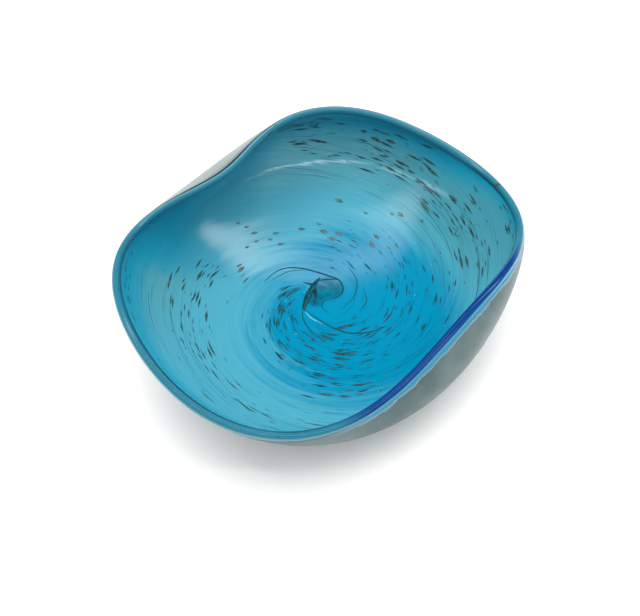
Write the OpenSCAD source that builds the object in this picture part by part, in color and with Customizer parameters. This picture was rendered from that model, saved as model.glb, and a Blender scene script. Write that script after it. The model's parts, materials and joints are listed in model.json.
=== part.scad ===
// Free-blown cased glass bowl with two opposite sides folded in, in millimetres.
// +Z is up, the origin is the centre of the ground foot, the two lobes point along X and the two folds
// along Y. Four skins of glass lie face to face: the opal casing outside, the turquoise layer, the clear
// lining, and a rounded lip that closes their cut edge. Aventurine streaks fill pockets in the lining.

/* [Mouth outline] */
// Mean radius of the mouth, to the middle of the wall
mouth_r = 98.5; // [94:0.5:102]
// How much further out the lobes are than that, and how much further in the folds are
lobe_out = 17; // [12:0.5:18]
// How far the lobes and folds are turned off the X and Y axes
lobe_skew = 3; // [0:0.5:5]
// How far the four corners between lobes and folds stand out
corner_out = 3.5; // [2:0.5:5]
// How far the whole mouth leans towards the front fold
mouth_lean = 6; // [3:0.5:8]
// Depth of the three-fold wave of the outline
mouth_third = 1; // [0:0.5:2]
// Depth of the small five-fold ripple left by the tools
mouth_ripple = 1.5; // [0:0.5:2]

/* [Mouth height] */
// Mean height of the mouth above the table
mouth_z = 58; // [54:0.5:61]
// How much higher the folds are pinched than the lobes
fold_up = 4.5; // [2:0.5:6]
// How much the back fold stands above the front one, each side of the mean
back_up = 3; // [0:0.5:4]
// Height of the wave on the three-fold ripple of the mouth
wave_up = 6; // [3:0.5:7]
// Height of the wave on the four corners of the mouth
corner_up = 1; // [0:0.5:2]

/* [Body] */
// Radius of the point that the side of the bowl bends towards
belly_r = 117.5; // [114:0.5:120]
// Height of that point
belly_z = 34; // [32:0.5:37]
// How far the belly is pushed out towards the corner at the back and right
belly_lean = 8.5; // [5:0.5:10]
// How far the belly rises and falls round the bowl, each side of the mean
belly_wave = 9.5; // [6:0.5:11]
// How far the belly is skewed with the lobes
belly_skew = 5; // [2:0.5:6]
// How far the floor runs out flat before it turns up, as a share of the way to the belly
sweep = 0.55; // [0.5:0.01:0.6]
// Radius of the flat part of the floor
foot_r = 38; // [34:0.5:42]

/* [Glass] */
// Thickness of the opal casing
opal_t = 2.2; // [1.6:0.1:2.6]
// Thickness of the turquoise layer
turquoise_t = 2; // [1.2:0.1:2.4]
// Thickness of the clear lining
lining_t = 0.8; // [0.6:0.1:1.2]
// How far the lip rounds up over the edge of the wall
lip_h = 3; // [2:0.1:3.5]
// How far the lip swells past each face of the wall
lip_swell = 0.3; // [0:0.1:0.6]

/* [Foot] */
// Radius of the ground pontil pad
pad_r = 34; // [28:0.5:36]
// Height of the pad below the casing
pad_h = 2; // [1.5:0.1:3]

/* [Aventurine] */
// Thickness of a streak at its middle
streak_t = 0.4; // [0.2:0.05:0.5]
// Width of a streak at its middle
streak_w = 1.4; // [0.6:0.1:2]
// Share of the places on the wall that hold a streak
wall_share = 0.6; // [0.3:0.05:0.9]
// Share of the places on the floor that hold a streak
floor_share = 0.8; // [0.3:0.05:0.9]
// Height of the twisted trail at the centre of the floor
trail_t = 0.6; // [0.3:0.1:1]
// How many arms the trail has
trail_arms = 3; // [2:1:4]

/* [Hidden] */

cols = 72;                                // patches round the bowl
floor_rings = 3;                          // rings on the flat floor
side_rings = 12;                          // rings up the side
rings = floor_rings + side_rings;
side_end = 0.98;                          // where the lip takes over from the layers
lip_steps = 7;                            // points over the round of the lip
seed = 7;                                 // of the streaks' places

wall = opal_t + turquoise_t + lining_t;
under_turquoise = opal_t;                 // depths below the outer face
under_lining = opal_t + turquoise_t;
floor_z = pad_h + wall;

floor_rows = [1, 2, 3, 4];                // rings whose outer patches hold floor streaks
wall_rows = [7, 8, 10, 11, 12];           // rings whose outer patches hold wall streaks
floor_slot = 9;                           // columns that each place for a streak takes up
wall_slot = 6;
shortest = 3;                             // columns that the shortest streak crosses
streak_slant = 0.25;                      // share of its ring that a streak climbs as it goes round
streak_tip = 0.1;                         // how far its tips stay from the edges of their patches

trail_place = [3, -3];                    // the trail's centre lies a little off the foot's
trail_in = 3;                             // radii at which an arm starts and ends
trail_out = 27;
trail_turn = 300;                         // how far an arm turns on its way out
trail_w = 2.6;                            // width of an arm where it starts
trail_steps = 24;

// ---- The form of the bowl -------------------------------------------------------------------

// Radius and height of the mouth at the angle a
function mouth_radius(a) =
    mouth_r + lobe_out * cos(2 * a) + lobe_skew * sin(2 * a) - mouth_lean * (sin(a) + cos(a) / 4)
    + mouth_third * (sin(3 * a) - cos(3 * a) / 2) - corner_out * (cos(4 * a) + sin(4 * a) / 7)
    - mouth_ripple * (sin(5 * a) - cos(5 * a) / 3);
function mouth_height(a) =
    mouth_z - fold_up * (cos(2 * a) + 0.8 * sin(2 * a)) + back_up * (sin(a) - 0.7 * cos(a))
    - wave_up * (cos(3 * a) - 0.6 * sin(3 * a)) + corner_up * (cos(4 * a) + sin(4 * a) / 2);

// Radius and height of the point that pulls the side outwards
function belly_radius(a) =
    belly_r + belly_lean * (cos(a) + 0.95 * sin(a)) - 2 * cos(2 * a) + belly_skew * sin(2 * a);
function belly_height(a) =
    belly_z + 4 * sin(a) - 1.5 * cos(a) + belly_wave * (0.6 * cos(2 * a) - sin(2 * a));

// The four points, as [radius, height], that steer the side's outer face at the angle a
function steer(a) =
    let (r = belly_radius(a))
    [[foot_r, pad_h], [foot_r + sweep * (r - foot_r), pad_h], [r, belly_height(a)],
     [mouth_radius(a) + wall / 2, mouth_height(a)]];

function bezier(p, t) =
    pow(1 - t, 3) * p[0] + 3 * pow(1 - t, 2) * t * p[1] + 3 * (1 - t) * t * t * p[2] + pow(t, 3) * p[3];
function bezier_run(p, t) =
    3 * (pow(1 - t, 2) * (p[1] - p[0]) + 2 * (1 - t) * t * (p[2] - p[1]) + t * t * (p[3] - p[2]));

function unit(v) = v / norm(v);
function inward(run) = [-run[1], run[0]];
function place(a, rz) = [rz[0] * cos(a), rz[0] * sin(a), rz[1]];

// Point of the wall at the angle a and the share t up the side, so deep below the outer face
function side_point(a, t, depth) =
    let (p = steer(a))
    place(a, bezier(p, t) + depth * inward(unit(bezier_run(p, t))));

function column_angle(j) = 360 * j / cols;

// Point of ring k and column j, at that depth: the first rings lie on the flat floor
function wall_point(j, k, depth) =
    k <= floor_rings
        ? place(column_angle(j), [foot_r * k / floor_rings, pad_h + depth])
        : side_point(column_angle(j), side_end * (k - floor_rings) / side_rings, depth);

// A whole face of the wall at one depth: its pole, then its rings from the inside out
function face_points(depth) = [
    [0, 0, pad_h + depth],
    for (k = [1 : rings], j = [0 : cols - 1]) wall_point(j, k, depth)
];
face_count = 1 + rings * cols;

// ---- Numbering of the points and patches ----------------------------------------------------

function ring_index(j, k) = 1 + (k - 1) * cols + j % cols;
function corners(j, k, from = 0) =
    [for (c = [[0, 0], [1, 0], [1, 1], [0, 1]]) from + ring_index(j + c[0], k + c[1])];
function turned(faces) = [for (f = faces) [f[2], f[1], f[0]]];

function pole_faces(from) =
    [for (j = [0 : cols - 1]) [from, from + ring_index(j + 1, 1), from + ring_index(j, 1)]];
function plain_patch(c) = [[c[0], c[1], c[2]], [c[0], c[2], c[3]]];

// ---- Streaks --------------------------------------------------------------------------------

// The streaks of one ring, each [first column, ring, columns crossed, place across the ring]. The ring
// is divided into slots, a fixed seed decides which of them are filled, and no streak leaves its slot.
function ring_streaks(k, slot, share) =
    let (slots = cols / slot, draw = rands(0, 1, 4 * slots, seed + k))
    [for (n = [0 : slots - 1]) if (draw[4 * n] < share)
        let (span = shortest + floor((slot - shortest) * draw[4 * n + 1]),
             start = floor((slot - span + 1) * draw[4 * n + 2]))
        [n * slot + start, k, span, 0.4 + 0.2 * draw[4 * n + 3]]];
floor_list = [for (k = floor_rows) each ring_streaks(k, floor_slot, floor_share)];
wall_list = [for (k = wall_rows) each ring_streaks(k, wall_slot, wall_share)];
inlay = concat(floor_list, wall_list);

// A streak has its two tips, then a lower edge, a crown and an upper edge at each column line it crosses
function streak_size(streak) = 2 + 3 * (streak[2] - 1);
function streak_starts(list) =
    [for (n = 0, start = 0; n < len(list); start = start + streak_size(list[n]), n = n + 1) start];
inlay_starts = streak_starts(inlay);

// Point on or near column line x, between rings, at the share v of the way from ring k to the next
function across(x, k, v, depth) =
    let (j = floor(x), east = x - j)
    (1 - east) * ((1 - v) * wall_point(j, k, depth) + v * wall_point(j, k + 1, depth))
    + east * ((1 - v) * wall_point(j + 1, k, depth) + v * wall_point(j + 1, k + 1, depth));

function streak_points(streak) =
    let (j = streak[0], k = streak[1], span = streak[2],
         middle = function (n) streak[3] + streak_slant * (n / span - 0.5))
    [
        across(j + streak_tip, k, middle(0), under_lining),
        across(j + span - streak_tip, k, middle(span), under_lining),
        for (n = [1 : span - 1])
            let (ring_w = norm(wall_point(j + n, k + 1, under_lining) - wall_point(j + n, k, under_lining)),
                 swell = sin(180 * n / span),
                 half = streak_w / 2 / ring_w * swell)
            each [across(j + n, k, middle(n) - half, under_lining),
                  across(j + n, k, middle(n), under_lining + streak_t * swell),
                  across(j + n, k, middle(n) + half, under_lining)]
    ];
inlay_points = [for (streak = inlay) each streak_points(streak)];

// The lower edge, crown or upper edge (side 0, 1 or 2) of a streak at its column line n
function streak_line(first, streak, n, side) =
    n == 0 ? first : n == streak[2] ? first + 1 : first + 2 + 3 * (n - 1) + side;

// The faces of a streak between its column lines n and n + 1, on the turquoise or over the crown
function level_faces(first, streak, n) =
    let (p = function (m, side) streak_line(first, streak, m, side))
    [if (n < streak[2] - 1) [p(n, 0), p(n + 1, 0), p(n + 1, 2)], if (n > 0) [p(n, 0), p(n + 1, 2), p(n, 2)]];
function raised_faces(first, streak, n) =
    let (p = function (m, side) streak_line(first, streak, m, side))
    [for (side = [0, 1]) each
        [if (n < streak[2] - 1) [p(n, side), p(n + 1, side), p(n + 1, side + 1)],
         if (n > 0) [p(n, side), p(n + 1, side + 1), p(n, side + 1)]]];

// The patch's own glass, below and above the streak that crosses it, and round the streak's tips
function collar(c, first, streak, n) =
    let (p = function (m, side) streak_line(first, streak, m, side))
    concat(
        [[c[0], c[1], p(n + 1, 0)], [c[0], p(n + 1, 0), p(n, 0)],
         [p(n, 2), p(n + 1, 2), c[2]], [p(n, 2), c[2], c[3]]],
        n == 0 ? [[c[0], p(0, 0), c[3]]] : [],
        n == streak[2] - 1 ? [[c[1], c[2], p(n + 1, 0)]] : []);

// Which streak crosses the patch, as an empty or one-item list
function streak_in(j, k) =
    [for (n = [0 : len(inlay) - 1])
        if (inlay[n][1] == k && inlay[n][0] <= j && j < inlay[n][0] + inlay[n][2]) n];
function inlaid_patch(c, first, streak, n, raised) =
    concat(collar(c, first, streak, n),
           raised ? raised_faces(first, streak, n) : level_faces(first, streak, n));

// The face between turquoise and lining, where the streaks' points are numbered from first_streak
function inlaid_faces(from, first_streak, raised) = [
    each pole_faces(from),
    for (k = [1 : rings - 1], j = [0 : cols - 1])
        let (c = corners(j, k, from), found = streak_in(j, k), m = found[0])
        each (len(found) == 0
            ? plain_patch(c)
            : inlaid_patch(c, first_streak + inlay_starts[m], inlay[m], j - inlay[m][0], raised))
];
function plain_faces(from) = [
    each pole_faces(from),
    for (k = [1 : rings - 1], j = [0 : cols - 1]) each plain_patch(corners(j, k, from))
];

// The cut edge at the top of a layer, from its inner face to its outer one
function edge_faces(outer, inner) = [
    for (j = [0 : cols - 1])
        let (o = outer + ring_index(j, rings), p = outer + ring_index(j + 1, rings),
             i = inner + ring_index(j, rings), q = inner + ring_index(j + 1, rings))
        each [[i, q, p], [i, p, o]]
];

// ---- Sub-parts ------------------------------------------------------------------------------

module pontil_pad() color("lightgrey")
    cylinder(h = pad_h, r = pad_r, $fn = 96);

module opal_casing() color("gainsboro")
    polyhedron(
        points = concat(face_points(0), face_points(under_turquoise)),
        faces = concat(turned(plain_faces(0)), plain_faces(face_count), edge_faces(0, face_count)));

module turquoise_layer() color("deepskyblue")
    polyhedron(
        points = concat(face_points(under_turquoise), face_points(under_lining), inlay_points),
        faces = concat(turned(plain_faces(0)), inlaid_faces(face_count, 2 * face_count, false),
                       edge_faces(0, face_count)));

module clear_lining() color("paleturquoise", 0.5)
    polyhedron(
        points = concat(face_points(under_lining), face_points(wall), inlay_points),
        faces = concat(turned(inlaid_faces(0, 2 * face_count, true)), plain_faces(face_count),
                       edge_faces(0, face_count)));

// Section of the lip at one column: over the round from the outer face to the inner one, then back
// along the layers' edges
function lip_section(j) =
    let (a = column_angle(j), p = steer(a), base = bezier(p, side_end), up = unit(bezier_run(p, side_end)))
    [for (depth_rise = concat(
        [[0, 0]],
        [for (m = [1 : lip_steps - 1])
            let (turn = 180 * m / lip_steps)
            [wall / 2 - (wall / 2 + lip_swell * sin(turn)) * cos(turn), lip_h * sin(turn)]],
        [[wall, 0], [under_lining, 0], [under_turquoise, 0]]))
     place(a, base + depth_rise[0] * inward(up) + depth_rise[1] * up)];
lip_count = lip_steps + 3;

module lip() color("skyblue")
    polyhedron(
        points = [for (j = [0 : cols - 1]) each lip_section(j)],
        faces = [for (j = [0 : cols - 1], m = [0 : lip_count - 1])
            let (this = j * lip_count, next = (j + 1) % cols * lip_count, n = (m + 1) % lip_count)
            each [[this + m, this + n, next + n], [this + m, next + n, next + m]]]);

// Every streak of a list, each a closed solid of its own
module streaks(list) color("darkolivegreen") {
    starts = streak_starts(list);
    polyhedron(
        points = [for (streak = list) each streak_points(streak)],
        faces = [for (m = [0 : len(list) - 1], n = [0 : list[m][2] - 1])
            each concat(turned(level_faces(starts[m], list[m], n)), raised_faces(starts[m], list[m], n))]);
}

module wall_streaks() streaks(wall_list);
module floor_streaks() streaks(floor_list);

// One arm of the trail: a spiral strip that thins as it winds out
function arm_edge(side) = [
    for (m = [0 : trail_steps])
        let (s = m / trail_steps, a = trail_turn * s,
             r = trail_in + (trail_out - trail_in) * pow(s, 1.3) + side * trail_w / 2 * (1 - 0.8 * s))
        r * [cos(a), sin(a)]
];

module centre_trail() color("darkslategrey")
    translate([trail_place[0], trail_place[1], floor_z])
    linear_extrude(height = trail_t)
    union() {
        circle(r = trail_in + trail_w / 2, $fn = 48);
        for (n = [0 : trail_arms - 1])
            rotate(360 * n / trail_arms)
            polygon(concat(arm_edge(1), [for (m = [trail_steps : -1 : 0]) arm_edge(-1)[m]]));
    }

pontil_pad();
opal_casing();
turquoise_layer();
clear_lining();
lip();
wall_streaks();
floor_streaks();
centre_trail();
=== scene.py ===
# %% [markdown]
# # A folded art glass bowl
#
# A glassmaker gathers turquoise glass, cases it in white opal, rolls it over dark aventurine chips,
# opens it into a bowl and, while it is still soft, folds two opposite sides inwards. This lesson
# dresses the bowl's exact frame: smooth glass skins, a rounded lip, and hundreds of drawn-out chips.

# %% Load the frame
import json
import math
import random

import bpy
import numpy as np
from mathutils import Matrix, Vector
from mathutils.bvhtree import BVHTree

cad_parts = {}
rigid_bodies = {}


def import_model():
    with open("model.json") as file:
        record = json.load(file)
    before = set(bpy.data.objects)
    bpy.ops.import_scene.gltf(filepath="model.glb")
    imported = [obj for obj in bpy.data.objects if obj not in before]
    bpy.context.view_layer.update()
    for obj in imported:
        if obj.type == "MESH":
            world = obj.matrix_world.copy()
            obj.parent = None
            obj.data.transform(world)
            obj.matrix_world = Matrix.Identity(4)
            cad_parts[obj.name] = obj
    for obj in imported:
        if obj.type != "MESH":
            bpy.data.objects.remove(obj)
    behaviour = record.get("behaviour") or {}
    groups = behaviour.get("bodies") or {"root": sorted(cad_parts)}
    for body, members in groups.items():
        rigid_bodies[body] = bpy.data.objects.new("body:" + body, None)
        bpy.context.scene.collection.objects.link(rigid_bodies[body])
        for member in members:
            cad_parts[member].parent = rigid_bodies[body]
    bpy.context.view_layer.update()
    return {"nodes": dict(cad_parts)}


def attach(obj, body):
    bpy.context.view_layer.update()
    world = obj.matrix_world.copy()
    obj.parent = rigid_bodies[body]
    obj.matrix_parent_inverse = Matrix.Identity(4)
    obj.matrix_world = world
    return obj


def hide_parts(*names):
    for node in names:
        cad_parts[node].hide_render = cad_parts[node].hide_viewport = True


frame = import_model()
nodes = frame["nodes"]
MM = 0.001
COLUMNS = 72
print("frame pieces:", sorted(nodes))

# %% [markdown]
# ## Camera, table and light
#
# The bowl stands on a plain pale table. The camera looks down at it from about fifty degrees, over
# the near fold. Glass shows its form by what it reflects, so the work is split: one wide lamp and a
# pale world light the colours but are kept out of the reflections, and a few long, dim softboxes
# overhead are there only to be reflected, as soft lines across the hollow.

# %% Camera
AIM = Vector((0, 0, 30 * MM))
AZIMUTH, ELEVATION = math.radians(-43.02), math.radians(49.59)
DISTANCE, LENS, SHIFT = 0.6, 62.94, (-0.0039, -0.048)


def towards(azimuth, elevation):
    flat = math.cos(elevation)
    return Vector((math.sin(azimuth) * flat, -math.cos(azimuth) * flat, math.sin(elevation)))


camera = bpy.data.objects.new("camera", bpy.data.cameras.new("camera"))
bpy.context.scene.collection.objects.link(camera)
camera.location = AIM + DISTANCE * towards(AZIMUTH, ELEVATION)
camera.rotation_euler = (-towards(AZIMUTH, ELEVATION)).to_track_quat("-Z", "Y").to_euler()
camera.data.lens = LENS
camera.data.shift_x, camera.data.shift_y = SHIFT
bpy.context.scene.camera = camera
print("camera at", [round(x, 3) for x in camera.location])

# %% Helpers that keep the selection clean
def deselect_all():
    if bpy.context.object and bpy.context.object.mode != "OBJECT":
        bpy.ops.object.mode_set(mode="OBJECT")
    for other in bpy.context.view_layer.objects:
        other.select_set(False)


def only(piece):
    deselect_all()
    piece.select_set(True)
    bpy.context.view_layer.objects.active = piece


def apply_modifiers(piece):
    only(piece)
    for modifier in list(piece.modifiers):
        bpy.ops.object.modifier_apply(modifier=modifier.name)


# %% Materials' helpers
def new_material(name):
    material = bpy.data.materials.new(name)
    material.use_nodes = True
    tree = material.node_tree
    return material, tree, tree.nodes["Principled BSDF"]


def node(tree, kind, **settings):
    made = tree.nodes.new("ShaderNode" + kind)
    for name, value in settings.items():
        setattr(made, name, value)
    return made


def plug(tree, socket, source):
    if isinstance(source, bpy.types.NodeSocket):
        tree.links.new(source, socket)
    else:
        socket.default_value = source


def maths(tree, operation, a, b=0.0, c=0.0, clamp=False):
    made = node(tree, "Math", operation=operation, use_clamp=clamp)
    for socket, source in zip(made.inputs, (a, b, c)):
        plug(tree, socket, source)
    return made.outputs[0]


def blend_colours(tree, factor, a, b):
    made = node(tree, "Mix", data_type="RGBA")
    plug(tree, made.inputs["Factor"], factor)
    plug(tree, made.inputs["A"], a)
    plug(tree, made.inputs["B"], b)
    return made.outputs["Result"]


def between(tree, value, low, high, to_low=0.0, to_high=1.0):
    """A soft step: to_low where the value is at low, to_high where it is at high."""
    made = node(tree, "MapRange", interpolation_type="SMOOTHSTEP")
    plug(tree, made.inputs["Value"], value)
    for name, source in (("From Min", low), ("From Max", high), ("To Min", to_low), ("To Max", to_high)):
        plug(tree, made.inputs[name], source)
    return made.outputs["Result"]


def facing(tree, turn, degrees):
    """1 where the direction from the centre is that one, falling to -1 on the opposite side."""
    return maths(tree, "COSINE", maths(tree, "SUBTRACT", turn, math.radians(degrees)))


def stored(tree, name):
    return node(tree, "Attribute", attribute_name=name, attribute_type="GEOMETRY").outputs["Fac"]


def polish(shader, roughness, specular, coat=0.0, coat_roughness=0.03):
    shader.inputs["Roughness"].default_value = roughness
    shader.inputs["Specular IOR Level"].default_value = specular
    shader.inputs["Coat Weight"].default_value = coat
    shader.inputs["Coat Roughness"].default_value = coat_roughness


# %% Table
TABLE_SIZE, PAPER = 6, (0.92, 0.92, 0.92, 1)

bpy.ops.mesh.primitive_plane_add(size=TABLE_SIZE)
table = bpy.context.object
table.name = "table"
paper, _, shader = new_material("pale_table")
shader.inputs["Base Color"].default_value = PAPER
polish(shader, 0.9, 0.1)
table.data.materials.append(paper)

# %% Lamps
CEILING = 0.8
KEY_AWAY, KEY_WIDTH, KEY_RADIANCE = 1.6, 1.8, 2.2
WORLD_STRENGTH = 1.15


def direction(azimuth, elevation):
    """Azimuth runs from straight behind the bowl, seen from the camera, towards its right."""
    around, above = math.radians(azimuth) - AZIMUTH, math.radians(elevation)
    flat = math.cos(above)
    return Vector((math.sin(around) * flat, math.cos(around) * flat, math.sin(above)))


def area_lamp(name, place, along, size, radiance):
    """A flat lamp that faces the bowl, its length laid along one direction."""
    lamp = bpy.data.lights.new(name, "AREA")
    lamp.shape, lamp.size, lamp.size_y = "RECTANGLE", size[0], size[1]
    lamp.energy = radiance * math.pi * size[0] * size[1]
    made = bpy.data.objects.new(name, lamp)
    bpy.context.scene.collection.objects.link(made)
    back = (place - AIM).normalized()
    side = (along - along.dot(back) * back).normalized()
    made.matrix_world = Matrix((side, back.cross(side), back)).transposed().to_4x4()
    made.location = place
    return made


def soften(lamp, softness):
    """Let a softbox fade from its middle to its edges, as one behind cloth does."""
    lamp.data.use_nodes = True
    tree = lamp.data.node_tree
    spread = node(tree, "SeparateXYZ")
    plug(tree, spread.inputs[0], node(tree, "NewGeometry").outputs["Parametric"])
    fades = []
    for axis in ("X", "Y"):
        sine = maths(tree, "SINE", maths(tree, "MULTIPLY", spread.outputs[axis], math.pi))
        fades.append(maths(tree, "POWER", maths(tree, "MAXIMUM", sine, 0.0), softness))
    plug(tree, tree.nodes["Emission"].inputs["Strength"], maths(tree, "MULTIPLY", *fades))


def strip(name, start, end, width, radiance, softness=1.0):
    """A long softbox overhead between two places, each given as metres to the right and away."""
    ends = [direction(90, 0) * right + direction(0, 0) * away for right, away in (start, end)]
    run = ends[1] - ends[0]
    middle = (ends[0] + ends[1]) / 2 + Vector((0, 0, CEILING))
    soften(area_lamp(name, middle, run, (run.length, width), radiance), softness)


strip("back_right", (0.05, 0.38), (1.05, 0.52), 0.22, 5.0)
strip("back", (-0.22, 0.40), (0.35, 0.45), 0.12, 2.6)
strip("back_left", (-0.02, 0.47), (-0.62, 0.08), 0.20, 3.0)
strip("front", (-0.40, -0.22), (0.62, -0.38), 0.05, 8.5, 0.5)
strip("front_right", (0.50, -0.37), (1.00, -0.30), 0.04, 4.0)
strip("front_left", (-0.82, 0.22), (-0.36, -0.20), 0.05, 6.0, 0.5)
key_place = AIM + KEY_AWAY * direction(-20, 80)
key = area_lamp("key", key_place, direction(90, 0), (KEY_WIDTH, KEY_WIDTH), KEY_RADIANCE)
key.visible_glossy = False

world = bpy.data.worlds.new("studio")
world.use_nodes = True
world.node_tree.nodes["Background"].inputs["Color"].default_value = (1, 1, 1, 1)
world.node_tree.nodes["Background"].inputs["Strength"].default_value = WORLD_STRENGTH
world.cycles_visibility.glossy = False
bpy.context.scene.world = world
bpy.context.scene.view_settings.view_transform = "Standard"

# %% [markdown]
# ## A smooth skin from a faceted one
#
# Each layer of the frame is a grid of flat facets, 72 columns round the bowl. Facets would show in
# every reflection, so each visible skin starts as a copy of its layer, is merged into one surface,
# keeps only the face that is seen, is turned back into four-sided faces and is subdivided until it
# runs smooth. The copy keeps the exact place and size, which modelling it afresh could not promise.

# %% Copy a layer and keep one face of it
HOLLOW = Vector((0, 0, 42 * MM))
FLATTEST, SQUAREST = math.radians(60), math.radians(150)


def merged_copy(node_name, name):
    only(nodes[node_name])
    bpy.ops.object.duplicate()
    piece = bpy.context.object
    piece.name = piece.data.name = name
    piece.parent = None
    for label in list(piece.keys()):
        del piece[label]
    bpy.ops.object.mode_set(mode="EDIT")
    bpy.ops.mesh.select_all(action="SELECT")
    bpy.ops.mesh.remove_doubles(threshold=0.01 * MM)
    bpy.ops.mesh.select_all(action="DESELECT")
    bpy.ops.object.mode_set(mode="OBJECT")
    piece.data.materials.clear()
    return piece


def pick_faces(piece, wanted):
    for face in piece.data.polygons:
        face.select = bool(wanted(face))
    for edge in piece.data.edges:
        edge.select = False
    bpy.context.tool_settings.mesh_select_mode = (False, False, True)


def one_face(node_name, name, side):
    """side is 1 for the face towards the hollow, -1 for the one away from it."""
    piece = merged_copy(node_name, name)
    pick_faces(piece, lambda f: side * f.normal.dot((HOLLOW - f.center).normalized()) < 0.25)
    bpy.ops.object.mode_set(mode="EDIT")
    bpy.ops.mesh.delete(type="FACE")
    bpy.ops.mesh.select_all(action="SELECT")
    bpy.ops.mesh.tris_convert_to_quads(face_threshold=FLATTEST, shape_threshold=SQUAREST)
    bpy.ops.object.mode_set(mode="OBJECT")
    return piece


def columns_of(piece):
    """The numbers of a skin's points, column by column, each from the centre outwards."""
    places = np.array([v.co for v in piece.data.vertices])
    reach = np.hypot(places[:, 0], places[:, 1])
    rise = np.arctan2(places[:, 2] - HOLLOW.z, reach)
    turn = np.arctan2(places[:, 1], places[:, 0]) * COLUMNS / math.tau
    turn = np.round(turn).astype(int) % COLUMNS
    pole = int(reach.argmin())
    rows = []
    for column in range(COLUMNS):
        own = [i for i in np.nonzero(turn == column)[0] if i != pole]
        rows.append([pole] + sorted(own, key=lambda i: rise[i]))
    return places, rows


inside = one_face("clear_lining", "turquoise_inside", 1)
outside = one_face("opal_casing", "opal_outside", -1)
inside_places, inside_columns = columns_of(inside)
outside_places, outside_columns = columns_of(outside)
print("inside:", len(inside.data.vertices), "points; column lengths", set(map(len, inside_columns)))
print("outside:", len(outside.data.vertices), "points; column lengths", set(map(len, outside_columns)))

# %% [markdown]
# ## Unrolling the hollow
#
# The streaks follow the glass, so their pattern needs a map that follows it too. Each point of the
# inside is laid out flat: its distance from the centre, measured along the glass, and its direction.
# That is the way an orange is peeled from one end, and it has no seam. The same walk tells how far
# each point is from the lip, where the colours change, so it is kept on both skins.

# %% A map of the inside
MAP_SPAN = 300 * MM


def walk_out(piece, places, rows):
    """Distance of each point from the centre along the glass; the distance to the lip is stored."""
    from_centre = np.zeros(len(places))
    from_lip = piece.data.attributes.new("from_lip", "FLOAT", "POINT")
    walks = []
    for row in rows:
        line = places[row]
        steps = np.r_[0, np.cumsum(np.linalg.norm(np.diff(line, axis=0), axis=1))]
        from_centre[row] = steps
        for number, step in zip(row, steps):
            from_lip.data[number].value = (steps[-1] - step) / MM
        walks.append((steps, line))
    return from_centre, walks


along, walks = walk_out(inside, inside_places, inside_columns)
walk_out(outside, outside_places, outside_columns)
turn_of = np.arctan2(inside_places[:, 1], inside_places[:, 0])
flat = np.c_[along * np.cos(turn_of), along * np.sin(turn_of)] / MAP_SPAN + 0.5
for piece in (inside, outside):
    for old in list(piece.data.uv_layers):
        piece.data.uv_layers.remove(old)
unrolled = inside.data.uv_layers.new(name="unrolled")
for loop in inside.data.loops:
    unrolled.data[loop.index].uv = flat[loop.vertex_index]
print("longest way from centre to lip, mm:", round(along.max() / MM, 1))

# %% Smooth both skins and give them their thickness
LEVELS = 2


def finish_skin(piece, thickness):
    smooth = piece.modifiers.new("smooth", "SUBSURF")
    smooth.levels = smooth.render_levels = LEVELS
    smooth.uv_smooth = "PRESERVE_BOUNDARIES"
    wall = piece.modifiers.new("wall", "SOLIDIFY")
    wall.thickness, wall.offset = thickness, -1
    apply_modifiers(piece)
    bpy.ops.object.shade_smooth()


finish_skin(inside, 2.6 * MM)
finish_skin(outside, 2.0 * MM)
skin_faces = [tuple(face.vertices) for face in inside.data.polygons]
glass_bvh = BVHTree.FromPolygons([v.co for v in inside.data.vertices], skin_faces)
print("smooth inside:", len(inside.data.polygons), "faces")

# %% [markdown]
# ## The lip
#
# The cut edge is melted round in the flame. It is a closed ring, so it is copied, merged and
# smoothed like the skins, with its two lower edges creased to stay tight on the wall. A value on
# each point says how far over the round it lies, from 0 outside to 1 inside: the colours of the
# glass layers, seen edge-on, follow it.

# %% Copy and smooth the lip
lip = merged_copy("lip", "lip_band")
only(lip)
bpy.ops.object.mode_set(mode="EDIT")
bpy.ops.mesh.select_all(action="SELECT")
bpy.ops.mesh.tris_convert_to_quads(face_threshold=FLATTEST, shape_threshold=SQUAREST)
bpy.ops.object.mode_set(mode="OBJECT")
for old in list(lip.data.uv_layers):
    lip.data.uv_layers.remove(old)

over = lip.data.attributes.new("over_round", "FLOAT", "POINT")
corners = set()
for vertex in lip.data.vertices:
    turn = math.atan2(vertex.co.y, vertex.co.x)
    column = round(turn * COLUMNS / math.tau) % COLUMNS
    outer_corner = Vector(outside_places[outside_columns[column][-1]])
    inner_corner = Vector(inside_places[inside_columns[column][-1]])
    across = (inner_corner - outer_corner).normalized()
    up = across.cross(Vector((-math.sin(turn), math.cos(turn), 0)))
    up = -up if up.z < 0 and abs(up.z) > 0.3 else up
    offset = vertex.co - (outer_corner + inner_corner) / 2
    depth, rise = offset.dot(across), offset.dot(up)
    if rise > 0.1 * MM:
        over.data[vertex.index].value = math.atan2(rise, -depth) / math.pi
    else:
        over.data[vertex.index].value = 0.0 if depth < 0 else 1.0
    if min((vertex.co - outer_corner).length, (vertex.co - inner_corner).length) < 0.05 * MM:
        corners.add(vertex.index)
crease = lip.data.attributes.new("crease_edge", "FLOAT", "EDGE")
for edge in lip.data.edges:
    crease.data[edge.index].value = 1.0 if set(edge.vertices) <= corners else 0.0
rounding = lip.modifiers.new("smooth", "SUBSURF")
rounding.levels = rounding.render_levels = LEVELS
apply_modifiers(lip)
bpy.ops.object.shade_smooth()
print("lip:", len(lip.data.polygons), "faces,", len(corners), "corner points")

# %% [markdown]
# ## Swirled glass
#
# The bowl was twisted as it was spun out, so everything in the glass is drawn along one spiral. The
# group below untwists the map of the inside: a plain round spot in its space comes out as a long
# tapered streak on the glass, longest on the walls, where the spiral lies flattest. Every pattern
# that was in the glass when it was spun uses it: the milky clouds, the smears and the hairlines.

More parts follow.
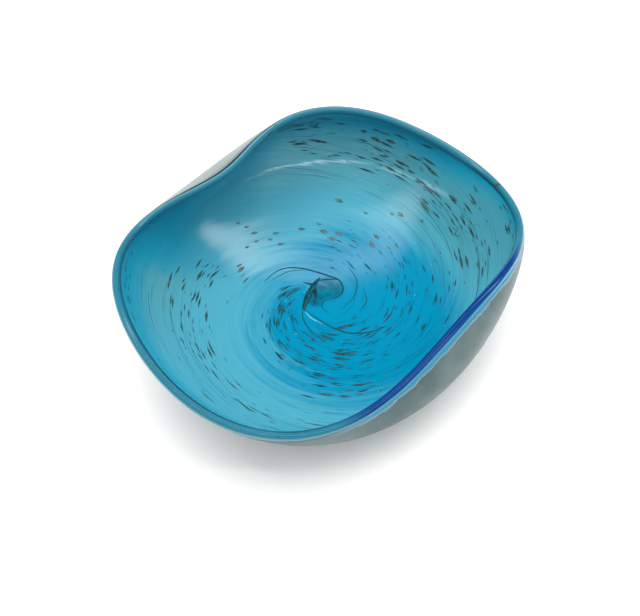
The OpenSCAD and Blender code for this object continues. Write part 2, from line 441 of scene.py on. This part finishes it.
# %% A node group that twists a pattern
def group(name, inputs, outputs):
    tree = bpy.data.node_groups.new(name, "ShaderNodeTree")
    for label, kind, value in inputs:
        socket = tree.interface.new_socket(name=label, in_out="INPUT", socket_type="NodeSocket" + kind)
        if value is not None:
            socket.default_value = value
    for label, kind in outputs:
        tree.interface.new_socket(name=label, in_out="OUTPUT", socket_type="NodeSocket" + kind)
    return tree, tree.nodes.new("NodeGroupInput"), tree.nodes.new("NodeGroupOutput")


def use(tree, grouped, **values):
    made = tree.nodes.new("ShaderNodeGroup")
    made.node_tree = grouped
    for label, value in values.items():
        plug(tree, made.inputs[label.replace("_", " ")], value)
    return made.outputs


SPIRAL, FLATTENING, CORE = 2.2, 0.035, 6.0

swirl, swirl_in, swirl_out = group(
    "swirl",
    [("Map", "Vector", None), ("Tightness", "Float", SPIRAL), ("Flattening", "Float", FLATTENING)],
    [("Twisted", "Vector"), ("Reach", "Float"), ("Turn", "Float"), ("Around", "Float")],
)
centred = node(swirl, "VectorMath", operation="SUBTRACT")
plug(swirl, centred.inputs[0], swirl_in.outputs["Map"])
centred.inputs[1].default_value = (0.5, 0.5, 0)
in_mm = node(swirl, "VectorMath", operation="SCALE")
plug(swirl, in_mm.inputs[0], centred.outputs[0])
in_mm.inputs["Scale"].default_value = MAP_SPAN / MM
length = node(swirl, "VectorMath", operation="LENGTH")
plug(swirl, length.inputs[0], in_mm.outputs[0])
reach = length.outputs["Value"]
parts = node(swirl, "SeparateXYZ")
plug(swirl, parts.inputs[0], in_mm.outputs[0])
turn = maths(swirl, "ARCTAN2", parts.outputs["Y"], parts.outputs["X"])
log_reach = maths(swirl, "LOGARITHM", maths(swirl, "ADD", reach, CORE), math.e)
wound = maths(swirl, "MULTIPLY", log_reach, swirl_in.outputs["Tightness"])
laid_over = maths(swirl, "MULTIPLY_ADD", reach, swirl_in.outputs["Flattening"], wound)
untwisted = maths(swirl, "SUBTRACT", turn, laid_over)
joined = node(swirl, "CombineXYZ")
plug(swirl, joined.inputs["X"], maths(swirl, "MULTIPLY", reach, maths(swirl, "COSINE", untwisted)))
plug(swirl, joined.inputs["Y"], maths(swirl, "MULTIPLY", reach, maths(swirl, "SINE", untwisted)))
plug(swirl, swirl_out.inputs["Twisted"], joined.outputs[0])
plug(swirl, swirl_out.inputs["Reach"], reach)
plug(swirl, swirl_out.inputs["Turn"], turn)
plug(swirl, swirl_out.inputs["Around"], untwisted)
print("swirl group:", len(swirl.nodes), "nodes")

# %% [markdown]
# ## The turquoise inside
#
# Deep turquoise lies thick round the centre and out towards the near fold, and thins to a milky blue
# over the rest, where the opal shows through. Up the walls it goes greyer, with a paler stretch of
# painted light, where light shining through the wall is painted in, and a duller stretch of painted
# shade on another side. It gathers to teal below the lip, and further down under the far fold, where
# the lip hangs over the wall: there the teal is partly deeper glass and partly painted shade under the
# overhang. The lining over it is clear and polished, so the finish is a colour under a coat, and the
# coat is slightly dished at the centre, where the lining pooled. Hairlines and dark smears are drawn
# out along the spiral, thickest in a ring round the centre.

# %% Turquoise glass
def noise(tree, vector, scale, detail=2.0, roughness=0.5, offset=None):
    made = node(tree, "TexNoise", noise_dimensions="3D")
    if offset is not None:
        shift = node(tree, "VectorMath", operation="ADD")
        plug(tree, shift.inputs[0], vector)
        shift.inputs[1].default_value = offset
        vector = shift.outputs[0]
    plug(tree, made.inputs["Vector"], vector)
    made.inputs["Scale"].default_value = scale
    made.inputs["Detail"].default_value = detail
    made.inputs["Roughness"].default_value = roughness
    return made.outputs["Fac"]


def srgb(*levels):
    linear = [c / 255 / 12.92 if c <= 10 else ((c / 255 + 0.055) / 1.055) ** 2.4 for c in levels]
    return (*linear, 1.0)


DEEP, MILKY = srgb(0, 120, 154), srgb(68, 146, 166)
GREYED, TEAL = srgb(72, 138, 150), srgb(0, 130, 160)
HAIR, SMEAR = srgb(4, 62, 76), srgb(16, 58, 62)
OPAL_DARK, OPAL_LIGHT = srgb(48, 74, 76), srgb(80, 102, 102)
# painted light and painted shade for the walls:
PAINTED_LIGHT, PAINTED_SHADE = srgb(112, 186, 202), srgb(36, 116, 132)
# the last colour on the next line is painted light for the far side of the opal
CRUMBS, CYAN, BACKLIT_OPAL = srgb(134, 138, 146), srgb(48, 124, 150), srgb(104, 122, 118)
NEAR_FOLD, FAR_FOLD, DEEP_SIDE, GREY_SIDE, LIT_SIDE, SHADED_SIDE = 273, 100, 295, 60, 70, 10
DEEP_WIDTH, DEEP_LEAN = 52.0, 25.0
DISH_DEPTH, DISH_REACH, RIPPLE_DEPTH = 6.5 * MM, 70.0, 0.6 * MM
FEW_HAIRS, MANY_HAIRS = 26.0, 36.0
COMMA = (((10, 6, 7), 11), ((0, 6, 7), 8))
COMMA_GLASS = srgb(2, 66, 82)


def hairlines(tree, around, reach, fineness, shift):
    """Lines drawn out along the spiral; fineness sets how many there are round one turn."""
    space = node(tree, "CombineXYZ")
    plug(tree, space.inputs["X"], maths(tree, "MULTIPLY", maths(tree, "COSINE", around), fineness))
    plug(tree, space.inputs["Y"], maths(tree, "MULTIPLY", maths(tree, "SINE", around), fineness))
    plug(tree, space.inputs["Z"], maths(tree, "MULTIPLY_ADD", reach, 0.14, shift))
    return between(tree, noise(tree, space.outputs[0], 1.0, 2, 0.5), 0.54, 0.66)


def many(tree, operation, first, *rest):
    for other in rest:
        first = maths(tree, operation, first, other)
    return first


turquoise, tree, shader = new_material("turquoise_glass")
map_node = node(tree, "UVMap", uv_map="unrolled")
swirled = use(tree, swirl, Map=map_node.outputs["UV"])
twisted, reach, turn, around = (swirled[label] for label in ("Twisted", "Reach", "Turn", "Around"))
from_lip = stored(tree, "from_lip")

clouds = noise(tree, twisted, 0.035, 3, 0.55)
fine_clouds = noise(tree, twisted, 0.16, 3, 0.6, (40, 0, 0))
deep_edge = maths(tree, "MULTIPLY_ADD", facing(tree, turn, DEEP_SIDE), DEEP_LEAN, DEEP_WIDTH)
wander = maths(tree, "MULTIPLY_ADD", clouds, 50.0, -25.0)
past_edge = many(tree, "ADD", maths(tree, "SUBTRACT", reach, deep_edge), wander)
milky = between(tree, past_edge, -12.0, 20.0)
mottle = maths(tree, "MULTIPLY_ADD", fine_clouds, 0.5, -0.27)
mottle = maths(tree, "MULTIPLY", mottle, between(tree, past_edge, -30.0, 0.0, 0.2, 1.0))
milky = maths(tree, "ADD", milky, mottle, clamp=True)
colour = blend_colours(tree, milky, DEEP, MILKY)

up_wall = between(tree, maths(tree, "MULTIPLY_ADD", clouds, 30.0, from_lip), 78.0, 46.0)
far_side = between(tree, facing(tree, turn, GREY_SIDE), -0.7, 0.3)
colour = blend_colours(tree, many(tree, "MULTIPLY", up_wall, far_side), colour, GREYED)
# painted light: a paler stretch up the wall, brightened where light shines through the glass
painted_light_share = between(tree, facing(tree, turn, LIT_SIDE), 0.4, 0.95, 0, 0.65)
colour = blend_colours(tree, maths(tree, "MULTIPLY", up_wall, painted_light_share), colour, PAINTED_LIGHT)
# painted shade: a darker, duller stretch up one side of the wall
painted_shade_share = between(tree, facing(tree, turn, SHADED_SIDE), 0.5, 0.95, 0, 0.5)
colour = blend_colours(tree, maths(tree, "MULTIPLY", up_wall, painted_shade_share), colour, PAINTED_SHADE)

toward_far = facing(tree, turn, FAR_FOLD)
teal_share = maths(tree, "MULTIPLY_ADD", toward_far, 0.10, 0.86)
teal_width = maths(tree, "MULTIPLY_ADD", toward_far, 11.0, 17.0)
# under the far fold the teal runs further down: partly deeper glass, partly painted shade under the
# overhang
teal_width = maths(tree, "ADD", teal_width, between(tree, toward_far, 0.74, 0.97, 0, 28))
down_wall = maths(tree, "MULTIPLY_ADD", clouds, 10.0, from_lip)
teal = between(tree, maths(tree, "DIVIDE", down_wall, teal_width), 1.5, 0.5)
colour = blend_colours(tree, many(tree, "MULTIPLY", teal, teal_share), colour, TEAL)

# the ring of smears round the centre, and the bands of them on the walls
ring = many(tree, "MULTIPLY", between(tree, reach, 6.0, 20.0), between(tree, past_edge, 14.0, -6.0))
bands = many(tree, "MULTIPLY", between(tree, from_lip, 10.0, 22.0), between(tree, from_lip, 62.0, 48.0))
off_far_fold = between(tree, toward_far, 0.95, 0.70)
bands = maths(tree, "MULTIPLY", bands, off_far_fold)
patches = between(tree, noise(tree, twisted, 0.06, 1, 0.5, (0, 90, 0)), 0.40, 0.60)
far_out = between(tree, reach, 46.0, 62.0)
close_in = maths(tree, "SUBTRACT", 1.0, far_out)
near_hairs = maths(tree, "MULTIPLY", hairlines(tree, around, reach, FEW_HAIRS, 0.0), close_in)
far_hairs = maths(tree, "MULTIPLY", hairlines(tree, around, reach, MANY_HAIRS, 9.0), far_out)
hairs = maths(tree, "ADD", near_hairs, far_hairs)
hair_share = maths(tree, "MULTIPLY_ADD", maths(tree, "MAXIMUM", ring, bands), 0.55, 0.15)
hair_share = maths(tree, "MULTIPLY", hair_share, maths(tree, "MULTIPLY_ADD", off_far_fold, 0.8, 0.2))
colour = blend_colours(tree, many(tree, "MULTIPLY", hairs, patches, hair_share), colour, HAIR)

smears = between(tree, noise(tree, twisted, 0.42, 1, 0.5, (0, 0, 17)), 0.66, 0.78)
smear_share = maths(tree, "MULTIPLY_ADD", maths(tree, "MAXIMUM", ring, bands), 0.45, 0.08)
colour = blend_colours(tree, many(tree, "MULTIPLY", smears, smear_share), colour, SMEAR)

# the comma at the very centre, where dark glass lies folded
middle = node(tree, "TexCoord").outputs["Object"]
folds = []
for place, size in COMMA:
    away = node(tree, "VectorMath", operation="DISTANCE")
    plug(tree, away.inputs[0], middle)
    away.inputs[1].default_value = [c * MM for c in place]
    folds.append(between(tree, away.outputs["Value"], size * MM, 0.45 * size * MM))
comma = maths(tree, "MAXIMUM", *folds)
comma_clouds = between(tree, noise(tree, middle, 260.0), 0.25, 0.6, 0.35, 0.75)
comma = many(tree, "MULTIPLY", comma, comma_clouds)
colour = blend_colours(tree, comma, colour, COMMA_GLASS)

plug(tree, shader.inputs["Base Color"], colour)
polish(shader, 0.4, 0.0, 1.0, 0.10)
dish = node(tree, "Bump")
dish.inputs["Strength"].default_value = 1.0
dish.inputs["Distance"].default_value = DISH_DEPTH
plug(tree, dish.inputs["Height"], between(tree, reach, 0.0, DISH_REACH))
ripple = node(tree, "Bump")
ripple.inputs["Strength"].default_value = 0.15
ripple.inputs["Distance"].default_value = RIPPLE_DEPTH
plug(tree, ripple.inputs["Height"], noise(tree, twisted, 0.05, 2, 0.5, (7, 7, 7)))
plug(tree, ripple.inputs["Normal"], dish.outputs[0])
plug(tree, shader.inputs["Coat Normal"], ripple.outputs[0])
inside.data.materials.append(turquoise)

# %% [markdown]
# ## Opal outside
#
# The casing is a dense grey-white glass with a satin skin, a little green where it is thin. Faint
# veils run through it, and the far side is painted lighter: painted light, as if the bowl were lit
# from behind. Under the near fold it stops a little short of the lip, and the blue glass shows below
# the edge as a pale cyan band with a ragged border. The ground foot is the same opal.

# %% Opal glass
opal, tree, shader = new_material("opal_glass")
where = node(tree, "TexCoord").outputs["Object"]
veils = between(tree, noise(tree, where, 22.0, 4, 0.6), 0.32, 0.68)
tone = blend_colours(tree, veils, OPAL_DARK, OPAL_LIGHT)
from_lip = stored(tree, "from_lip")
places = node(tree, "SeparateXYZ")
plug(tree, places.inputs[0], where)
wall_turn = maths(tree, "ARCTAN2", places.outputs["Y"], places.outputs["X"])
near_side = between(tree, facing(tree, wall_turn, NEAR_FOLD), 0.70, 0.86)
ragged = maths(tree, "MULTIPLY_ADD", noise(tree, where, 110.0, 3, 0.6), 5.0, -2.5)
border = many(tree, "SUBTRACT", maths(tree, "SUBTRACT", 2.8, from_lip), ragged)
crumbs = many(tree, "MULTIPLY", between(tree, border, -0.7, -0.2), near_side)
tone = blend_colours(tree, crumbs, tone, CRUMBS)
band = many(tree, "MULTIPLY", between(tree, border, -0.2, 0.3), near_side)
tone = blend_colours(tree, band, tone, CYAN)
# painted light: the far side is lighter, as if lit from behind
painted_backlight = between(tree, places.outputs["Y"], 20 * MM, 70 * MM)
tone = blend_colours(tree, painted_backlight, tone, BACKLIT_OPAL)
plug(tree, shader.inputs["Base Color"], tone)
polish(shader, 0.42, 0.25, 0.2, 0.25)
outside.data.materials.append(opal)

foot_glass, tree, shader = new_material("ground_foot")
where = node(tree, "TexCoord").outputs["Object"]
grinding = noise(tree, where, 240.0, 4, 0.6)
plug(tree, shader.inputs["Base Color"], blend_colours(tree, grinding, OPAL_DARK, OPAL_LIGHT))
shader.inputs["Roughness"].default_value = 0.75
nodes["pontil_pad"].data.materials.clear()
nodes["pontil_pad"].data.materials.append(foot_glass)

# %% [markdown]
# ## Colours over the lip
#
# Over the round of the lip the layers are seen edge-on. Round most of the bowl that is a thin dark
# line outside, a pale line that is a painted highlight along the round, the turquoise itself, and a
# thin dark line where the lip meets the inside. On the near fold the blue layer stands on edge as a
# band of cobalt. Here and there a chip of aventurine was caught in the edge, and none of the lines
# runs quite even.

# %% Lip glass
def colour_bands(tree, value, stops):
    bands = node(tree, "ValToRGB")
    while len(bands.color_ramp.elements) < len(stops):
        bands.color_ramp.elements.new(0.5)
    for element, (place, tint) in zip(bands.color_ramp.elements, stops):
        element.position, element.color = place, tint
    plug(tree, bands.inputs[0], value)
    return bands.outputs["Color"]


lip_glass, tree, shader = new_material("lip_glass")
where = node(tree, "TexCoord").outputs["Object"]
over_round = stored(tree, "over_round")
uneven = maths(tree, "MULTIPLY_ADD", noise(tree, where, 55.0, 3, 0.6), 0.10, -0.05)
over_round = maths(tree, "ADD", over_round, uneven)
places = node(tree, "SeparateXYZ")
plug(tree, places.inputs[0], where)
lip_turn = maths(tree, "ARCTAN2", places.outputs["Y"], places.outputs["X"])
near_fold = between(tree, facing(tree, lip_turn, NEAR_FOLD), 0.70, 0.86)
at_back = maths(tree, "MULTIPLY_ADD", facing(tree, lip_turn, 50), 0.11, 0.11)
leaning = maths(tree, "SUBTRACT", over_round, at_back)
# the pale stop near the outer edge is a painted highlight along the round of the lip
open_lip = colour_bands(tree, leaning, [
    (0.0, srgb(16, 46, 60)), (0.05, srgb(24, 70, 86)), (0.10, srgb(84, 134, 146)),
    (0.20, srgb(46, 112, 130)), (0.50, srgb(26, 98, 120)), (0.66, srgb(14, 76, 94)),
    (0.74, srgb(4, 48, 60)), (0.84, srgb(4, 78, 98)), (1.0, srgb(6, 96, 122)),
])
folded_lip = colour_bands(tree, over_round, [
    (0.0, srgb(60, 124, 142)), (0.10, srgb(56, 128, 152)), (0.16, srgb(0, 62, 120)),
    (0.4, srgb(0, 44, 106)), (0.62, srgb(0, 54, 112)), (0.78, srgb(0, 76, 122)), (1.0, srgb(0, 92, 124)),
])
colour = blend_colours(tree, near_fold, open_lip, folded_lip)
caught = between(tree, noise(tree, where, 60.0, 3, 0.65, (3, 1, 8)), 0.64, 0.70)
caught = many(tree, "MULTIPLY", caught, maths(tree, "SUBTRACT", 0.85, near_fold))
colour = blend_colours(tree, caught, colour, srgb(52, 56, 46))
plug(tree, shader.inputs["Base Color"], colour)
polish(shader, 0.3, 0.1, 1.0, 0.05)
lip.data.materials.append(lip_glass)

# %% [markdown]
# ## Drawn-out chips
#
# The dark flecks are chips of aventurine that stuck to the hot glass and were drawn out with it,
# thick in the middle with a fine tail at each end. One chip is modelled, then copied hundreds of
# times, each copy stretched along the spiral and laid on the glass by the map of the inside. Each
# point keeps how far out on its chip it lies, so that the thin edges fade into the glass round it.

# %% One chip
bpy.ops.mesh.primitive_uv_sphere_add(segments=6, ring_count=8, radius=1)
chip = bpy.context.object
chip.name = "chip"
chip.rotation_euler = (0, math.radians(90), 0)
bpy.ops.object.transform_apply(rotation=True)
chip_points = np.array([v.co for v in chip.data.vertices])
chip_points[:, 1] *= (1 - np.abs(chip_points[:, 0])) ** 0.9
chip_points[:, 2] *= 0.5
chip_faces = [tuple(p.vertices) for p in chip.data.polygons]
bpy.data.objects.remove(chip)
print("one chip:", len(chip_points), "points,", len(chip_faces), "faces")

# %% Where a place on the map lies on the glass
CHIP_LIFT = 0.02 * MM


def at_reach(column, reach):
    steps, line = walks[column % COLUMNS]
    return Vector([np.interp(reach, steps, line[:, axis]) for axis in range(3)])


def on_glass(turn, reach):
    """The point of the inside at that direction and distance along the glass, and its normal."""
    column = (turn * COLUMNS / math.tau) % COLUMNS
    first = int(column)
    rough = at_reach(first, reach).lerp(at_reach(first + 1, reach), column - first)
    hit, normal, _, _ = glass_bvh.ray_cast(HOLLOW, (rough - HOLLOW).normalized())
    if hit is None:
        return rough, (HOLLOW - rough).normalized()
    return hit, normal


def finish_mesh(name, points, faces):
    mesh = bpy.data.meshes.new(name)
    mesh.from_pydata(points, [], faces)
    piece = bpy.data.objects.new(name, mesh)
    bpy.context.scene.collection.objects.link(piece)
    only(piece)
    bpy.ops.object.mode_set(mode="EDIT")
    bpy.ops.mesh.select_all(action="SELECT")
    bpy.ops.mesh.normals_make_consistent(inside=False)
    bpy.ops.object.mode_set(mode="OBJECT")
    bpy.ops.object.shade_smooth()
    return piece


def lay_chips(name, chips):
    """chips are (turn in degrees, reach, length, width, height, slant in degrees), sizes in mm."""
    points, faces, tails = [], [], []
    for turn, reach, length, width, height, slant in chips:
        start = len(points)
        tilt = math.radians(slant)
        column = round(turn * COLUMNS / 360)
        for x, y, z in chip_points:
            along_mm, across_mm = x * length / 2, y * width / 2
            out = max(reach + along_mm * math.sin(tilt) + across_mm * math.cos(tilt), 1.0) * MM
            radius = max(at_reach(column, out).xy.length / MM, 4.0)
            sideways = (along_mm * math.cos(tilt) - across_mm * math.sin(tilt)) / radius
            spot, normal = on_glass(math.radians(turn) + sideways, out)
            points.append(spot + normal * (z * height * MM + CHIP_LIFT))
            tails.append(math.hypot(x, y))
        faces += [tuple(start + i for i in face) for face in chip_faces]
    print(name, len(chips), "chips,", len(faces), "faces")
    piece = finish_mesh(name, points, faces)
    piece.data.attributes.new("tail", "FLOAT", "POINT").data.foreach_set("value", tails)
    return piece


def longest_reach(turn):
    return walks[int(round(turn * COLUMNS / 360)) % COLUMNS][0][-1] / MM


def deep_reach(turn):
    return DEEP_WIDTH + DEEP_LEAN * math.cos(math.radians(turn - DEEP_SIDE))


# %% Scatter them
dice = random.Random(11)


def slant_at(reach):
    """How steeply the spiral climbs there: the same spiral as in the swirl group."""
    return math.degrees(math.atan(1 / (SPIRAL * reach / (reach + CORE) + FLATTENING * reach)))


def scatter(count, turns, reach_of, spread, lengths, widths):
    chips = []
    for _ in range(count):
        turn = dice.uniform(*turns)
        reach = min(reach_of(turn) + dice.gauss(0, spread), longest_reach(turn) - 3)
        size = dice.random() ** 2
        length = lengths[0] + (lengths[1] - lengths[0]) * size
        width = widths[0] + (widths[1] - widths[0]) * size * dice.uniform(0.6, 1.2)
        chips.append((turn, reach, length, width, 0.12, slant_at(reach) + dice.gauss(0, 3)))
    return chips


ring_chips = scatter(
    210, (100, 340), lambda a: dice.uniform(18, deep_reach(a) - 2), 2, (3, 11), (0.4, 1.4))
ring_chips += scatter(60, (190, 330), lambda a: 36 + (a - 190) * 0.06, 5, (4, 12), (0.5, 1.6))
ring_chips += scatter(44, (330, 400), lambda a: dice.uniform(28, 62), 2, (3, 9), (0.3, 1.0))
left_chips = scatter(110, (112, 228), lambda a: 66 + (a - 112) * 0.3, 8, (3, 14), (0.4, 1.9))
left_chips += scatter(14, (218, 252), lambda a: 60, 4, (6, 12), (0.8, 1.6))
right_chips = scatter(150, (318, 418), lambda a: 88 + (a - 318) * 0.28, 8, (3, 14), (0.4, 2.0))
gold_chips = scatter(24, (0, 112), lambda a: dice.uniform(46, 80), 2, (4, 8), (1.6, 3.0))
rim_chips = scatter(12, (125, 168), lambda a: longest_reach(a) - 7, 3, (5, 10), (1.0, 1.8))
rim_chips += scatter(10, (318, 342), lambda a: longest_reach(a) - 6, 2, (5, 11), (1.0, 1.8))
rim_chips += scatter(22, (20, 62), lambda a: longest_reach(a) - 13, 4, (4, 13), (1.8, 3.6))

floor_chips_piece = lay_chips("floor_chips", ring_chips)
wall_chips_piece = lay_chips("wall_chips", left_chips + right_chips + rim_chips)
gold_chips_piece = lay_chips("gold_chips", gold_chips)

# %% Aventurine
def chip_glass(name, dark, light, shine=1.0, fading=None):
    """fading is the colour of the glass round the chip, which shows through its thin tails."""
    material, tree, shader = new_material(name)
    where = node(tree, "TexCoord").outputs["Object"]
    mottled = between(tree, noise(tree, where, 380.0, 3, 0.6), 0.38, 0.62)
    tone = blend_colours(tree, mottled, dark, light)
    if fading:
        thin = between(tree, stored(tree, "tail"), 0.6, 1.1)
        tone = blend_colours(tree, thin, tone, fading)
    plug(tree, shader.inputs["Base Color"], tone)
    polish(shader, 0.4, 0.1, shine, 0.15)
    return material


dark_chips = chip_glass("dark_chips", srgb(10, 56, 66), srgb(16, 84, 98), fading=DEEP)
brown_chips = chip_glass("brown_chips", srgb(36, 60, 58), srgb(52, 84, 84), fading=MILKY)
speckled_chips = chip_glass("gold_chips", srgb(54, 86, 88), srgb(96, 110, 100), fading=MILKY)
floor_chips_piece.data.materials.append(dark_chips)
wall_chips_piece.data.materials.append(brown_chips)
gold_chips_piece.data.materials.append(speckled_chips)

# %% [markdown]
# ## The twist at the centre
#
# Where the glass left the pipe it was twisted shut, and the dark threads in it wound into a comma
# with a folded ribbon behind it. Each thread is a curve drawn through a few guide points on the
# floor, round in section, fine at its ends and pressed flat to half its height. One pale curved
# stroke beside the threads is a painted highlight, drawn and pressed like a thread. A row of seeds,
# the tiny bubbles that a fold traps, lies along the ribbon.

# %% Draw the threads
FLOOR_LIFT = 0.05 * MM
PRESSED_WITHIN, PRESSED_TO = 36 * MM, 0.5


def thread(name, guides, thickness):
    """guides are places on the floor in mm; the ends taper, the middle is as thick as asked."""
    drawing = bpy.data.curves.new(name, "CURVE")
    drawing.dimensions, drawing.resolution_u = "3D", 6
    drawing.bevel_depth, drawing.bevel_resolution = thickness / 2 * MM, 2
    drawing.use_fill_caps = True
    line = drawing.splines.new("NURBS")
    line.points.add(len(guides) - 1)
    line.order_u, line.use_endpoint_u = 3, True
    for number, (point, (x, y)) in enumerate(zip(line.points, guides)):
        spot, _ = on_glass(math.atan2(y, x), math.hypot(x, y) * MM)
        point.co = (*(spot + Vector((0, 0, FLOOR_LIFT))), 1)
        share = number / (len(guides) - 1)
        point.radius = 0.25 + 0.75 * math.sin(math.pi * share) ** 0.7
    made = bpy.data.objects.new(name, drawing)
    bpy.context.scene.collection.objects.link(made)
    only(made)
    bpy.ops.object.convert(target="MESH")
    return bpy.context.object


threads = [
    thread("comma_back", [(-13, 34), (-5, 36), (3, 34), (9, 28), (13, 21), (17, 12), (19, 7), (18, 3),
                          (15, -1), (10, -2.5), (6, 0)], 1.0),
    thread("comma_second", [(-12, 32), (-3, 32), (5, 30), (10, 24)], 0.5),
    thread("comma_curl", [(10, -2), (6, 0), (2, 1.5), (-1, 0), (-2.5, -3.5), (-1.5, -7)], 0.5),
    thread("comma_edge", [(10, 14), (14, 12.3), (18, 8)], 1.5),
    thread("low_thread", [(-9, 6), (-13.5, 2.5), (-16.2, -3.5), (-17.2, -9), (-17.6, -14),
                          (-16, -20)], 0.7),
    thread("hook", [(-9.5, 5), (-9.2, -2), (-8.2, -10.5), (-7, -16), (-4, -24), (2, -29.5), (9, -33.4),
                    (15, -35)], 0.8),
    thread("right_arc", [(29, 10), (28.4, 4), (24.7, -2.6), (18.8, -7), (12.8, -9.1), (6, -9.6)], 0.5),
    thread("far_arc", [(23, -9), (21.5, -13.8), (15.8, -16.8), (11, -17.8)], 0.6),
]
ribbon = thread("ribbon", [(12, 15), (8, 14.2), (4, 12.6), (0, 10.8), (-5, 7.9), (-9.5, 5),
                           (-10, 3.5)], 3.4)
fold = thread("ribbon_fold", [(2.9, 19.2), (5, 15.5), (6, 13), (3, 9), (0.5, 5.5), (-4.6, 2.5)], 1.8)
# painted highlight: a pale stroke drawn as a thread, standing in for a highlight beside the ribbon
highlight_crescent = thread("highlight_crescent", [(-10.6, 2.4), (-11.2, -1), (-11.1, -4.4), (-9.4, -9.6)], 0.9)
only(threads[0])
for part in threads[1:] + [ribbon, fold]:
    part.select_set(True)
bpy.ops.object.join()
swirl_threads = bpy.context.object
swirl_threads.name = swirl_threads.data.name = "centre_threads"
bpy.ops.object.mode_set(mode="EDIT")
bpy.ops.mesh.select_all(action="SELECT")
bpy.ops.mesh.normals_make_consistent(inside=False)
bpy.ops.object.mode_set(mode="OBJECT")
floor_height = on_glass(0.0, 10 * MM)[0].z
for drawn in (swirl_threads, highlight_crescent):
    for vertex in drawn.data.vertices:
        if vertex.co.xy.length < PRESSED_WITHIN:
            vertex.co.z = floor_height + (vertex.co.z - floor_height) * PRESSED_TO
    only(drawn)
    bpy.ops.object.shade_smooth()
    print(drawn.name, len(drawn.data.polygons), "faces")
swirl_threads.data.materials.append(chip_glass("trail_glass", srgb(4, 50, 60), srgb(8, 74, 88), 0.2))
highlight_crescent.data.materials.append(chip_glass("painted_highlight_thread", srgb(70, 158, 184), srgb(104, 178, 198), 0.2))

# %% Seeds
LONE_SEEDS = 26

seed_places = [(-1.5 + 2.2 * i, 13.2 + 0.55 * i) for i in range(5)]
seed_chips = [(math.degrees(math.atan2(y, x)), math.hypot(x, y), 0.9, 0.9, 0.4, 0)
              for x, y in seed_places]
for _ in range(LONE_SEEDS):
    seed_chips.append((dice.uniform(0, 360), dice.uniform(20, 100), 0.6, 0.6, 0.3, 0))
seeds = lay_chips("seeds", seed_chips)
seeds.data.materials.append(chip_glass("seed_glass", srgb(96, 146, 152), srgb(156, 190, 190)))

# %% Pieces ride on the frame
for piece, slot_name, stands_for in (
    (inside, "turquoise_glass", ("turquoise_layer", "clear_lining")),
    (floor_chips_piece, "aventurine", ("floor_streaks",)),
    (wall_chips_piece, "aventurine", ("wall_streaks",)),
    (gold_chips_piece, "aventurine", ()),
    (swirl_threads, "trail_glass", ("centre_trail",)),
    (highlight_crescent, "trail_glass", ()),
    (seeds, "trail_glass", ()),
    (outside, "opal_glass", ("opal_casing",)),
    (lip, "lip_glass", ("lip",)),
):
    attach(piece, "root")
    if stands_for:
        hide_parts(*stands_for)
